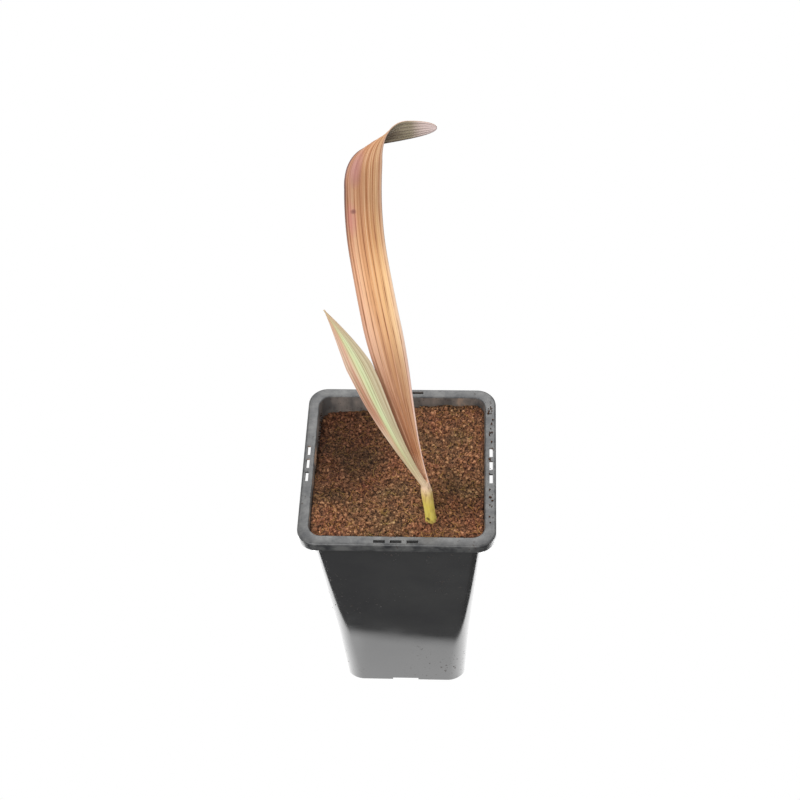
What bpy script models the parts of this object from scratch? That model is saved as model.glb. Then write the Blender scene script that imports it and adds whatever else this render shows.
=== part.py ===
"""A palm seedling in a deep square nursery pot.

The seedling is a sheath that stands in the soil, a short strap leaf, and a tall strap leaf
whose tip rolls back to the right. Units are metres and +Z is up. The origin is the centre of
the pot's flat underside, and the front of the pot faces -Y.
"""

import math
from dataclasses import dataclass

import bmesh
import bpy
import numpy as np
from mathutils import Matrix, Vector

GAP = 0.0003  # between pieces that touch

# Pot: half widths are measured across the flats
POT_HEIGHT = 0.200
RIM_HALF = 0.060
RIM_CORNER = 0.012
RIM_THICK = 0.0015
RIM_ROUND = 0.0012
SKIRT_DROP = 0.0065
BODY_TOP_HALF = 0.0544
BODY_TOP_CORNER = 0.009
BASE_HALF = 0.04325
BASE_CORNER = 0.014
BASE_ROUND = 0.0008
WALL = 0.0013
FLOOR = 0.0015
CORNER_STEPS = 6

# Drainage: a notch in the middle of each side of the base, under a raised cover
NOTCH_WIDTH = 0.018
NOTCH_HEIGHT = 0.003
NOTCH_REACH = 0.022
NOTCH_HOLE_RADIUS = 0.004
NOTCH_HOLE_FROM_CENTRE = 0.031
CORNER_HOLE_RADIUS = 0.0035
CORNER_HOLE_OFFSET = 0.026

# Slots through the rim, a short row in the middle of each side
SLOT_COUNT = 3
SLOT_LENGTH = 0.007
SLOT_WIDTH = 0.002
SLOT_PITCH = 0.010
SLOT_FROM_EDGE = 0.003

# Soil: its surface lies this far below the rim, and sinks toward the back and the back left
SOIL_DROP = 0.0040
SOIL_BACK_DROP = 0.0025
SOIL_CORNER_DROP = 0.0090
SOIL_LUMP = 0.0004
SOIL_RINGS = 12
SOIL_SIDE_POINTS = 8
PAD_LEVEL = 0.1954
PAD_RADIUS = 0.010
PAD_BLEND = 0.008

# Sheath: an oval stalk from the soil to the foot of the leaves
SHEATH_FOOT = Vector((0.0206, -0.0378, PAD_LEVEL + GAP))
SHEATH_TOP = Vector((0.0174, -0.0358, 0.2292))
SHEATH_FOOT_RADII = (0.0031, 0.0030)
SHEATH_TOP_RADII = (0.0036, 0.0038)
SHEATH_SIDES = 16
SHEATH_RINGS = 6

# Leaves
LEAF_THICKNESS = 0.0022
TIP_THICKNESS = 0.0010
SHORT_LEAF_THICKNESS = 0.0016
LEAF_ACROSS = 8
TIP_SPLIT = 0.210  # where the tall leaf's tip starts, along the leaf


@dataclass(frozen=True)
class Roll:
    """The bend that turns a leaf's tip back about a slanting crease in the leaf's own plane."""

    crease: tuple  # a point on the crease: right and up from the leaf's foot
    slope: float  # degrees of the crease above level, rising to the right
    radius: float
    angle: float  # degrees turned at that radius
    tail_radius: float  # the gentler bend that follows


@dataclass(frozen=True)
class Leaf:
    root: Vector
    length: float
    turn: float  # degrees that the face turns to the left of straight ahead
    lean: float  # degrees that the foot leans toward the back
    arch_radius: float
    course: tuple  # (distance along, degrees left of upright)
    width: float
    root_width: float
    rise: float  # distance over which it widens
    slimming: float  # share of the width lost from there to the tip
    tip_length: float
    tip_power: float
    tip_roundness: float
    tip_width: float
    roll: Roll | None = None


TALL_LEAF = Leaf(
    root=Vector((0.0181, -0.0338, 0.2302)),
    length=0.276,
    turn=12,
    lean=-4,
    arch_radius=0.8,
    course=((0, 9.9), (0.054, 9.5), (0.114, 8.7), (0.179, 8), (0.229, -1.7), (0.284, -4.2)),
    width=0.0215,
    root_width=0.005,
    rise=0.132,
    slimming=0.22,
    tip_length=0.042,
    tip_power=2.5,
    tip_roundness=0.5,
    tip_width=0.0012,
    roll=Roll(crease=(-0.049, 0.2074), slope=44.5, radius=0.0075, angle=146, tail_radius=0.108),
)
SHORT_LEAF = Leaf(
    root=Vector((0.0173, -0.0382, 0.2302)),
    length=0.151,
    turn=0,
    lean=-3,
    arch_radius=0.5,
    course=((0, 19.4), (0.044, 18.3), (0.094, 16), (0.150, 27.6)),
    width=0.0146,
    root_width=0.004,
    rise=0.106,
    slimming=0,
    tip_length=0.042,
    tip_power=1.25,
    tip_roundness=1,
    tip_width=0.0008,
)


def clear_scene():
    for obj in list(bpy.data.objects):
        bpy.data.objects.remove(obj, do_unlink=True)


def new_collection(name):
    collection = bpy.data.collections.new(name)
    bpy.context.scene.collection.children.link(collection)
    return collection


def material(name, colour, roughness):
    made = bpy.data.materials.new(name)
    made.use_nodes = True
    shader = made.node_tree.nodes["Principled BSDF"]
    shader.inputs["Base Color"].default_value = (*colour, 1)
    shader.inputs["Roughness"].default_value = roughness
    shader.inputs["Metallic"].default_value = 0
    return made


def object_from(bm, name, collection, look=None):
    mesh = bpy.data.meshes.new(name)
    bm.to_mesh(mesh)
    bm.free()
    obj = bpy.data.objects.new(name, mesh)
    collection.objects.link(obj)
    if look:
        mesh.materials.append(look)
    return obj


def shade(obj, degrees):
    obj.data.shade_smooth()
    obj.data.set_sharp_from_angle(angle=math.radians(degrees))


def smooth_step(value):
    value = min(max(value, 0), 1)
    return value * value * (3 - 2 * value)


def rounded_square(half, corner, z, side_points=0):
    """Points round a square with rounded corners, anticlockwise from the right of the back."""
    points = []
    reach = half - corner
    for quarter in range(4):
        turn = Matrix.Rotation(quarter * math.pi / 2, 3, "Z")
        for step in range(CORNER_STEPS + 1):
            angle = step / CORNER_STEPS * math.pi / 2
            x = reach + corner * math.cos(angle)
            y = reach + corner * math.sin(angle)
            points.append(turn @ Vector((x, y, z)))
        for step in range(side_points):
            x = reach * (1 - 2 * (step + 1) / (side_points + 1))
            points.append(turn @ Vector((x, half, z)))
    return points


def wall_ring(z, inset, side_points=0):
    """The body's section at height z, that far inside its outer face."""
    share = z / (POT_HEIGHT - RIM_THICK)
    half = BASE_HALF + (BODY_TOP_HALF - BASE_HALF) * share
    corner = BASE_CORNER + (BODY_TOP_CORNER - BASE_CORNER) * share
    return rounded_square(half - inset, corner - inset, z, side_points)


def loft(rings):
    """A closed solid through rings of equal count, flat at both ends."""
    bm = bmesh.new()
    rows = [[bm.verts.new(point) for point in ring] for ring in rings]
    count = len(rows[0])
    for lower, upper in zip(rows, rows[1:]):
        for i in range(count):
            j = (i + 1) % count
            bm.faces.new((lower[i], lower[j], upper[j], upper[i]))
    bm.faces.new(rows[0])
    bm.faces.new(rows[-1])
    bmesh.ops.recalc_face_normals(bm, faces=bm.faces)
    return bm


def add_box(bm, low, high, turn):
    """A box from corner low to corner high, turned about Z."""
    size = Vector(high) - Vector(low)
    centre = (Vector(high) + Vector(low)) / 2
    matrix = turn @ Matrix.Translation(centre) @ Matrix.Diagonal((*size, 1))
    bmesh.ops.create_cube(bm, size=1, matrix=matrix)


def add_rod(bm, x, y, radius, low, high, turn):
    """An upright rod, turned about the pot's axis."""
    matrix = turn @ Matrix.Translation((x, y, (low + high) / 2))
    bmesh.ops.create_cone(
        bm,
        cap_ends=True,
        segments=20,
        radius1=radius,
        radius2=radius,
        depth=high - low,
        matrix=matrix,
    )


def quarter_turns():
    return [Matrix.Rotation(quarter * math.pi / 2, 4, "Z") for quarter in range(4)]


def combine(obj, cutter, operation):
    modifier = obj.modifiers.new(f"{operation} {cutter.name}", "BOOLEAN")
    modifier.operation = operation
    modifier.object = cutter


def hide(cutter):
    cutter.hide_render = True
    cutter.display_type = "WIRE"
    return cutter


def pot_rings():
    """The pot's profile, from its underside up the outside, over the rim and down the inside."""
    under_rim = POT_HEIGHT - RIM_THICK
    skirt_end = POT_HEIGHT - SKIRT_DROP
    skirt_half = RIM_HALF - RIM_THICK
    skirt_corner = RIM_CORNER - RIM_THICK
    mouth_half = BODY_TOP_HALF - WALL
    mouth_corner = BODY_TOP_CORNER - WALL
    rings = [
        rounded_square(BASE_HALF - BASE_ROUND, BASE_CORNER - BASE_ROUND, 0),
        wall_ring(BASE_ROUND, 0),
        wall_ring(under_rim, 0),
        rounded_square(skirt_half, skirt_corner, under_rim),
        rounded_square(skirt_half, skirt_corner, skirt_end),
        rounded_square(RIM_HALF, RIM_CORNER, skirt_end),
    ]
    for step in range(3):
        angle = step / 2 * math.pi / 2
        inset = RIM_ROUND * (1 - math.cos(angle))
        z = POT_HEIGHT - RIM_ROUND * (1 - math.sin(angle))
        rings.append(rounded_square(RIM_HALF - inset, RIM_CORNER - inset, z))
    rings.append(rounded_square(mouth_half + BASE_ROUND, mouth_corner + BASE_ROUND, POT_HEIGHT))
    rings.append(rounded_square(mouth_half, mouth_corner, POT_HEIGHT - BASE_ROUND))
    rings.append(wall_ring(FLOOR + BASE_ROUND, WALL))
    rings.append([Vector((p.x, p.y, FLOOR)) for p in wall_ring(FLOOR, WALL + BASE_ROUND)])
    return rings


def notch_covers(name, growth, inner_low, outer, collection):
    """The four raised covers over the base notches, or the room that they take in the soil."""
    bm = bmesh.new()
    inner = BASE_HALF - NOTCH_REACH - WALL - growth
    side = NOTCH_WIDTH / 2 + WALL + growth
    top = NOTCH_HEIGHT + FLOOR + growth
    for turn in quarter_turns():
        add_box(bm, (inner, -side, inner_low), (outer, side, top), turn)
    return hide(object_from(bm, name, collection))


def notch_cutter(collection):
    bm = bmesh.new()
    below = -0.001
    for turn in quarter_turns():
        low = (BASE_HALF - NOTCH_REACH, -NOTCH_WIDTH / 2, below)
        high = (BASE_HALF + 0.003, NOTCH_WIDTH / 2, NOTCH_HEIGHT)
        add_box(bm, low, high, turn)
    return hide(object_from(bm, "notch_cutter", collection))


def hole_cutter(collection):
    """The drain holes: one in each notch's cover and one near each corner."""
    bm = bmesh.new()
    offset = CORNER_HOLE_OFFSET
    for turn in quarter_turns():
        add_rod(bm, NOTCH_HOLE_FROM_CENTRE, 0, NOTCH_HOLE_RADIUS, 0.002, 0.008, turn)
        add_rod(bm, offset, offset, CORNER_HOLE_RADIUS, -0.002, 0.004, turn)
    return hide(object_from(bm, "hole_cutter", collection))


def slot_cutter(collection):
    bm = bmesh.new()
    outer = RIM_HALF - SLOT_FROM_EDGE + SLOT_WIDTH / 2
    low = POT_HEIGHT - 2 * RIM_THICK
    high = POT_HEIGHT + RIM_THICK
    for turn in quarter_turns():
        for slot in range(SLOT_COUNT):
            middle = (slot - (SLOT_COUNT - 1) / 2) * SLOT_PITCH
            start = middle - SLOT_LENGTH / 2
            end = middle + SLOT_LENGTH / 2
            add_box(bm, (outer - SLOT_WIDTH, start, low), (outer, end, high), turn)
    return hide(object_from(bm, "slot_cutter", collection))


def make_pot(parts, cutters):
    pot = object_from(loft(pot_rings()), "pot", parts, material("pot", (0.02, 0.02, 0.022), 0.3))
    covers = notch_covers("covers", 0, FLOOR / 2, BASE_HALF - WALL / 2, cutters)
    combine(pot, covers, "UNION")
    combine(pot, notch_cutter(cutters), "DIFFERENCE")
    combine(pot, hole_cutter(cutters), "DIFFERENCE")
    combine(pot, slot_cutter(cutters), "DIFFERENCE")
    shade(pot, 30)


def soil_level(x, y):
    """Height of the soil's surface, with a level pad under the sheath."""
    half = BODY_TOP_HALF - WALL
    right = x / half
    back = y / half
    drop = SOIL_DROP + SOIL_BACK_DROP * smooth_step((back + 0.2) / 1.2)
    drop += SOIL_CORNER_DROP * smooth_step((back - 0.8 * right - 0.3) / 1.5)
    lumps = math.sin(310 * x + 0.7) * math.sin(270 * y) + math.sin(520 * x - 390 * y)
    level = POT_HEIGHT - drop + SOIL_LUMP * lumps
    away = math.hypot(x - SHEATH_FOOT.x, y - SHEATH_FOOT.y)
    return PAD_LEVEL + (level - PAD_LEVEL) * smooth_step((away - PAD_RADIUS) / PAD_BLEND)


def soil_ring(z, inset=0):
    return wall_ring(z, WALL + GAP + inset, SOIL_SIDE_POINTS)


def soil_edge():
    """Where the surface meets the pot's wall."""
    edge = []
    for i, point in enumerate(soil_ring(POT_HEIGHT - SOIL_DROP)):
        for _ in range(3):
            point = soil_ring(soil_level(point.x, point.y))[i]
        edge.append(point)
    return edge


def make_soil(parts, cutters):
    low = FLOOR + GAP
    edge = soil_edge()
    rings = [soil_ring(low, BASE_ROUND), soil_ring(low + BASE_ROUND), edge]
    for ring in range(1, SOIL_RINGS):
        share = 1 - ring / SOIL_RINGS
        inner = [(point.x * share, point.y * share) for point in edge]
        rings.append([Vector((x, y, soil_level(x, y))) for x, y in inner])
    look = material("soil", (0.09, 0.035, 0.018), 0.95)
    soil = object_from(loft(rings), "soil", parts, look)
    combine(soil, notch_covers("cover_room", GAP, 0, BASE_HALF + 0.003, cutters), "DIFFERENCE")
    shade(soil, 40)


def make_sheath(parts):
    """An oval stalk with level ends, swelling toward the leaves' feet."""
    rings = []
    for ring in range(SHEATH_RINGS):
        share = ring / (SHEATH_RINGS - 1)
        centre = SHEATH_FOOT.lerp(SHEATH_TOP, share)
        across = SHEATH_FOOT_RADII[0] + (SHEATH_TOP_RADII[0] - SHEATH_FOOT_RADII[0]) * share
        deep = SHEATH_FOOT_RADII[1] + (SHEATH_TOP_RADII[1] - SHEATH_FOOT_RADII[1]) * share
        points = []
        for side in range(SHEATH_SIDES):
            angle = side / SHEATH_SIDES * 2 * math.pi
            points.append(centre + Vector((across * math.cos(angle), deep * math.sin(angle), 0)))
        rings.append(points)
    look = material("leaf_sheath", (0.55, 0.50, 0.10), 0.5)
    shade(object_from(loft(rings), "leaf_sheath", parts, look), 40)


def leaf_half_width(leaf, along):
    share = np.clip(along / leaf.rise, 0, 1)
    widening = share * share * (3 - 2 * share)
    width = leaf.root_width + (leaf.width - leaf.root_width) * widening
    width *= 1 - leaf.slimming * np.clip((along - leaf.rise) / (leaf.length - leaf.rise), 0, 1)
    into_tip = np.clip(1 - (leaf.length - along) / leaf.tip_length, 0, 1)
    width *= (1 - into_tip**leaf.tip_power) ** leaf.tip_roundness
    return np.maximum(width, leaf.tip_width) / 2


def leaf_plane(leaf, across, along):
    """Distance right and up from the leaf's foot, in its own plane, before it rolls or arches."""
    steps = np.linspace(0, leaf.length, 301)
    distances, degrees = zip(*leaf.course)
    heading = np.radians(np.interp(steps, distances, degrees))
    stride = steps[1]
    right = np.append(0, np.cumsum(-(np.sin(heading[1:]) + np.sin(heading[:-1])) / 2 * stride))
    up = np.append(0, np.cumsum((np.cos(heading[1:]) + np.cos(heading[:-1])) / 2 * stride))
    here = np.interp(along, steps, heading)
    offset = across * leaf_half_width(leaf, along)
    right = np.interp(along, steps, right) + offset * np.cos(here)
    return right, np.interp(along, steps, up) + offset * np.sin(here)


def rolled(roll, right, up):
    """The same point after the roll: right, up and back."""
    slope = math.radians(roll.slope)
    along_crease = np.array((math.cos(slope), math.sin(slope)))
    past_crease = np.array((-math.sin(slope), math.cos(slope)))
    from_crease = np.stack((right - roll.crease[0], up - roll.crease[1]), -1)
    kept = from_crease @ along_crease
    beyond = from_crease @ past_crease
    most = math.radians(roll.angle)
    angle = np.clip(beyond / roll.radius, 0, most)
    tail = np.maximum(beyond - roll.radius * most, 0) / roll.tail_radius
    forward = np.minimum(beyond, 0) + roll.radius * np.sin(angle)
    forward += roll.tail_radius * (np.sin(most + tail) - math.sin(most))
    back = roll.radius * (1 - np.cos(angle))
    back += roll.tail_radius * (math.cos(most) - np.cos(most + tail))
    right = roll.crease[0] + kept * along_crease[0] + forward * past_crease[0]
    up = roll.crease[1] + kept * along_crease[1] + forward * past_crease[1]
    return right, up, back


def leaf_points(leaf, across, along):
    """Points of the leaf's middle surface. Across runs from -1 at its left edge to 1."""
    right, up = leaf_plane(leaf, across, along)
    back = np.zeros_like(right)
    if leaf.roll:
        right, up, back = rolled(leaf.roll, right, up)
    rise = (leaf.arch_radius - back) * np.sin(up / leaf.arch_radius)
    depth = leaf.arch_radius - (leaf.arch_radius - back) * np.cos(up / leaf.arch_radius)
    turn = math.radians(leaf.turn)
    lean = math.radians(leaf.lean)
    right_axis = np.array((math.cos(turn), -math.sin(turn), 0))
    level_back = np.array((math.sin(turn), math.cos(turn), 0))
    upright = np.array((0, 0, 1))
    up_axis = level_back * math.sin(lean) + upright * math.cos(lean)
    back_axis = level_back * math.cos(lean) - upright * math.sin(lean)
    offset = np.outer(right, right_axis) + np.outer(rise, up_axis) + np.outer(depth, back_axis)
    return np.array(leaf.root) + offset


def make_blade(name, leaf, start, end, rows, thickness, look, parts):
    """The stretch of a leaf from start to end, as a flat grid bent to shape and thickened."""
    bm = bmesh.new()
    bmesh.ops.create_grid(bm, x_segments=LEAF_ACROSS, y_segments=rows, size=1)
    across = np.array([vert.co.x for vert in bm.verts])
    along = start + (end - start) * (1 + np.array([vert.co.y for vert in bm.verts])) / 2
    for vert, point in zip(bm.verts, leaf_points(leaf, across, along)):
        vert.co = point
    blade = object_from(bm, name, parts, look)
    solidify = blade.modifiers.new("Thickness", "SOLIDIFY")
    solidify.thickness = thickness
    solidify.offset = 0
    shade(blade, 40)


def main():
    clear_scene()
    parts = new_collection("potted_palm_seedling")
    cutters = new_collection("cutters")
    make_pot(parts, cutters)
    make_soil(parts, cutters)
    make_sheath(parts)
    short_end = SHORT_LEAF.length
    look = material("short_leaf", (0.45, 0.42, 0.20), 0.5)
    make_blade("short_leaf", SHORT_LEAF, 0, short_end, 40, SHORT_LEAF_THICKNESS, look, parts)
    look = material("tall_leaf", (0.58, 0.30, 0.12), 0.5)
    low_end = TIP_SPLIT - GAP / 2
    make_blade("tall_leaf", TALL_LEAF, 0, low_end, 50, LEAF_THICKNESS, look, parts)
    look = material("tall_leaf_tip", (0.36, 0.28, 0.20), 0.5)
    tip_start = TIP_SPLIT + GAP / 2
    make_blade("tall_leaf_tip", TALL_LEAF, tip_start, TALL_LEAF.length, 40, TIP_THICKNESS, look, parts)


main()
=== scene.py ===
"""A palm seedling with two strap leaves in a deep square nursery pot.

The leaves are thin pleated blades, the soil is a rough bed with loose crumbs and coir fibres, and
the pot is a moulded shell. Units are metres and +Z is up. The front of the pot faces -Y.
"""

import math
import random
from dataclasses import dataclass

import bmesh
import bpy
import numpy as np
from mathutils import Euler, Matrix, Vector, noise


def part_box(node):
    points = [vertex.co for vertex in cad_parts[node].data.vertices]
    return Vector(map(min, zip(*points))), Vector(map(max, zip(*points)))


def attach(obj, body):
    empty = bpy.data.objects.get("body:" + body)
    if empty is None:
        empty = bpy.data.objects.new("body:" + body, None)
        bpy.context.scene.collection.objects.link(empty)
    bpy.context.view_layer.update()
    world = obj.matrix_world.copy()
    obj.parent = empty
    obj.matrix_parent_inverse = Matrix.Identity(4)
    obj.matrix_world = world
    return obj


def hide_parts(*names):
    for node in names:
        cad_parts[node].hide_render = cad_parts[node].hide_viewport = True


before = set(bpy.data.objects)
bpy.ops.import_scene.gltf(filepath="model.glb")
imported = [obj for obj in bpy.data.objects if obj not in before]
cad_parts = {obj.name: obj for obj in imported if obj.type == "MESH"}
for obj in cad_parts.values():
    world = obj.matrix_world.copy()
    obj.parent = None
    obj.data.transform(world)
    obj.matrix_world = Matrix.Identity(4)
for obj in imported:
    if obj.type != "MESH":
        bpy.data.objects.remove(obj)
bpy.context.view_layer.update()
_, POT_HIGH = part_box("pot")
SHEATH_LOW, SHEATH_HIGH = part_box("leaf_sheath")

# Pot. Half widths are measured across the flats
POT_HEIGHT = POT_HIGH[2]
RIM_HALF = POT_HIGH[0]
RIM_CORNER = 0.012
RIM_THICK = 0.0015
RIM_ROUND = 0.0012
SKIRT_DROP = 0.0065
SKIRT_END = POT_HEIGHT - SKIRT_DROP
BODY_TOP_HALF = 0.0544
BODY_TOP_CORNER = 0.009
BASE_HALF = 0.04325
BASE_CORNER = 0.014
EDGE_ROUND = 0.0008
SKIRT_ROUND = EDGE_ROUND / 4
WALL = 0.0013
FLOOR = 0.0015
CORNER_STEPS = 14
ROUND_STEPS = 4
ROD_SIDES = 28
SHARP_ANGLE = 32  # degrees between faces, past which an edge stays sharp
NOTCH_WIDTH = 0.018
NOTCH_HEIGHT = 0.003
NOTCH_REACH = 0.022
NOTCH_HOLE_RADIUS = 0.004
NOTCH_HOLE_FROM_CENTRE = 0.031
CORNER_HOLE_RADIUS = 0.0035
CORNER_HOLE_OFFSET = 0.026
SLOT_COUNT = 3
SLOT_LENGTH = 0.007
SLOT_WIDTH = 0.002
SLOT_PITCH = 0.010
SLOT_FROM_EDGE = 0.003

# Soil
GAP = 0.0003
SOIL_DROP = 0.0040
SOIL_BACK_DROP = 0.0025
SOIL_CORNER_DROP = 0.0090
SOIL_BRIM = POT_HEIGHT - 2 * SOIL_DROP  # the height at which the wall's outline bounds the bed
SOIL_LOW = FLOOR + NOTCH_HEIGHT + 2 * GAP + WALL  # clear of the notch covers
SOIL_GRID = 150
SWELL_HEIGHT, SWELL_SCALE = 0.0006, 55
LUMP_HEIGHT, LUMP_SCALE = 0.0016, 260
GRAIN_HEIGHT, GRAIN_SCALE = 0.0008, 900
SOIL_SHARP_ANGLE = 60

# Loose soil: how many there are, and their radii
SEED = 11
BATCH = 65  # shapes made in one small mesh, before they join the rest
CRUMBS = 5200
CRUMB_RADIUS = 0.0003
CRUMB_GROWTH = 0.0014
CRUMB_RARITY = 2.8  # the higher, the fewer crumbs are large
CRUMB_DENTS = 0.28
CLODS = 190
CLOD_RADIUS = (0.0010, 0.0021)
CLOD_SINK = 0.45
RIM_CRUMBS = 46
RIM_CRUMB_RADIUS = (0.0003, 0.0008)
RIM_CORNER_SHARE = 0.4
RIM_CORNER_PATCH = ((0.0545, 0.0582), (0.040, 0.050))  # spans along X and Y
RIM_SIDE_PATCH = ((0.0555, 0.0582), (-0.045, 0.04))
WALL_CRUMBS = 92
WALL_CRUMB_RADIUS = (0.0003, 0.0007)
WALL_CRUMB_SPAN = (-0.005, 0.045)
WALL_CRUMB_TOP = POT_HEIGHT - 0.003
WALL_TAPER_ROOM = 0.0006  # the wall's taper, about 11 mm below the mouth
FIBRES = 900
FIBRE_RADIUS = (0.00008, 0.00018)
FIBRE_LENGTH = (0.0015, 0.0075)
FIBRE_BEND = 1.6  # radians at most
FIBRE_STEPS = 4
FIBRE_SIDES = 3
WELD = 0.000001

# Leaves
LEAF_THICKNESS = 0.00045
BLADE_ACROSS = 60
BLADE_ALONG = 300
FOOT_CURL = 1.35  # radians that half the blade curls through at its foot
BLADE_CURL = 0.16
CURL_LENGTH = 0.085
CURL_EASE = 2.2
FOOT_OVERLAP = 0.007  # how far the leaves run down inside the sheath
COURSE_STEPS = 300
WAVE_HEIGHT = 0.00025
PLEATS_AT_FOOT = 0.35  # depth of the pleats there, as a share of their depth higher up
PLEAT_WANDER = 0.25

# Sheath
SHEATH_FOOT = Vector((0.0206, -0.0378, SHEATH_LOW[2]))
SHEATH_TOP = Vector((0.0174, -0.0358, SHEATH_HIGH[2] + 0.004))
SHEATH_HALF = 0.0031  # half its width at the foot
SHEATH_WIDENING = 0.0005
SHEATH_HALF_DEPTH = 0.0030
SHEATH_DEEPENING = 0.0008
SHEATH_FLARE = 0.00045
SHEATH_FOLD = 0.10
FOLD_ANGLE, FOLD_SPREAD = math.radians(215), 0.22
CREASE_ANGLE, CREASE_SPREAD = math.radians(238), 0.16
SHEATH_RINGS = 26
SHEATH_SIDES = 48
SHEATH_SHARP_ANGLE = 50
NICK_PLACE = (0.0190, SHEATH_LOW[2] + 0.0042)  # a dark nick near the foot, along X and Z


@dataclass(frozen=True)
class Roll:
    """The bend that turns a leaf's tip back about a slanting crease in the leaf's own plane.

    The crease is given by a point on it, and by its slope from level in degrees. The blade turns
    through the angle on the radius, and then goes on in a wider arc on the tail radius.
    """

    crease: tuple
    slope: float
    radius: float
    angle: float
    tail_radius: float


@dataclass(frozen=True)
class Leaf:
    """A strap leaf, with its lengths in metres and its turn and lean in degrees.

    The course gives the blade's heading, in degrees left of upright, at distances from its foot.
    Its width grows over the rise, shrinks above it by the share slimming, and runs out in the tip.
    """

    root: Vector
    length: float
    turn: float
    lean: float
    arch_radius: float
    course: tuple
    width: float
    root_width: float
    rise: float
    slimming: float
    tip_length: float
    tip_power: float
    tip_roundness: float
    tip_width: float
    pleats: float
    pleat_depth: float
    curl_side: int  # 1 where the edges curl forward, -1 where they curl back
    roll: Roll | None = None


TALL_LEAF = Leaf(
    root=Vector((0.0181, -0.0338, 0.2302)),
    length=0.276,
    turn=12,
    lean=-4,
    arch_radius=0.8,
    course=((0, 9.9), (0.054, 9.5), (0.114, 8.7), (0.179, 8), (0.229, -1.7), (0.284, -4.2)),
    width=0.0215,
    root_width=0.005,
    rise=0.132,
    slimming=0.22,
    tip_length=0.042,
    tip_power=2.5,
    tip_roundness=0.5,
    tip_width=0.0012,
    pleats=6,
    pleat_depth=0.00042,
    curl_side=1,
    roll=Roll(crease=(-0.049, 0.2074), slope=44.5, radius=0.0075, angle=146, tail_radius=0.108),
)
SHORT_LEAF = Leaf(
    root=Vector((0.0173, -0.0382, 0.2302)),
    length=0.151,
    turn=0,
    lean=-3,
    arch_radius=0.5,
    course=((0, 19.4), (0.044, 18.3), (0.094, 16), (0.150, 27.6)),
    width=0.0146,
    root_width=0.004,
    rise=0.106,
    slimming=0,
    tip_length=0.042,
    tip_power=1.25,
    tip_roundness=1,
    tip_width=0.0008,
    pleats=4,
    pleat_depth=0.0003,
    curl_side=-1,
)

# The camera, from the outline of the pot's rim and base
CAMERA_AZIMUTH = 4.366
CAMERA_ELEVATION = 51.529
CAMERA_ROLL = -2.862
CAMERA_TARGET = Vector((0.00248, 0, 0.26431))
CAMERA_DISTANCE = 0.87079
CAMERA_LENS = 66.75
CAMERA_SENSOR = 36

# Stage and light. The sheet's glow changes with the distance from the pot's middle. Each softbox
# has a name, place, aim, width and power
STAGE_HALF = 8
SHEET_GLOW = 4.6
SHEET_WIDTH = ((0.030, 0.38), (0.075, 0.85), (0.12, 1.0), (0.26, 1.0), (0.30, 0.0))
SHEET_DEPTH = ((0.073, 1.0), (0.078, 0.0))
SHEET_SLANT = 0.08
FLOOR_BOUNCE = 0.8
WORLD_FILL = 0.62
SOFTBOXES = (
    ("key_light", (-0.5, -1.1, 1.7), (0, 0, 0.25), 1.2, 22),
    ("back_light", (0.1, 1.3, 1.5), (0, 0, 0.2), 1.2, 17),
)


def tone(red, green, blue):
    """A colour given in the usual 0 to 255 steps, as linear light."""
    linear = []
    for step in (red, green, blue):
        share = step / 255
        linear.append(share / 12.92 if share <= 0.04045 else ((share + 0.055) / 1.055) ** 2.4)
    return (*linear, 1)


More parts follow.
